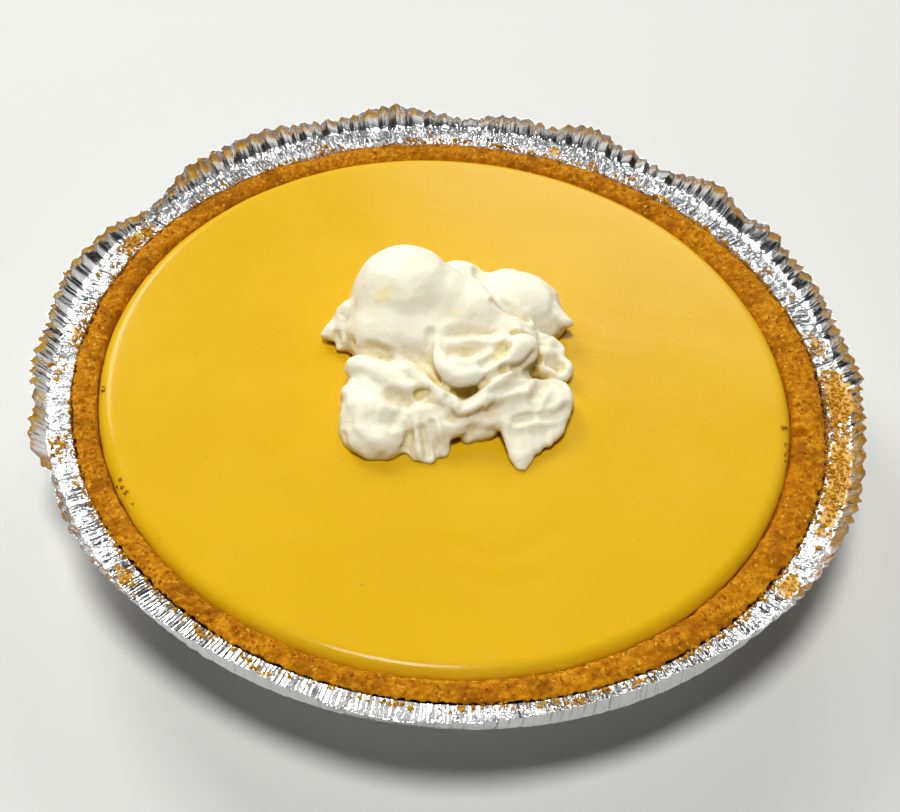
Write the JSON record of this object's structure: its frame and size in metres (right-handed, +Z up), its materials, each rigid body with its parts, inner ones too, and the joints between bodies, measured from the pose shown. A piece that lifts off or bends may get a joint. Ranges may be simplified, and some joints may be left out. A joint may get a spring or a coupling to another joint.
{
  "type": "key lime pie",
  "caption": "Key lime pie in its own pleated foil tin: graham crumb crust, smooth yellow filling and a spooned dollop of whipped cream on top.",
  "frame": {"origin": "centre of the underside of the foil tin's flat base", "axes": "+Z up out of the pie, -Y towards the front, +X to the right as seen from the front"},
  "size_m": [0.23, 0.2255, 0.0533],
  "materials": {
    "foil": "bright crinkled foil",
    "crust": "matt baked crumb",
    "filling": "smooth satin custard",
    "cream": "soft satin cream"
  },
  "bodies": {
    "root": {"foil_tin": "foil", "graham_crust": "crust", "lime_filling": "filling", "whipped_cream": "cream"}
  },
  "joints": []
}
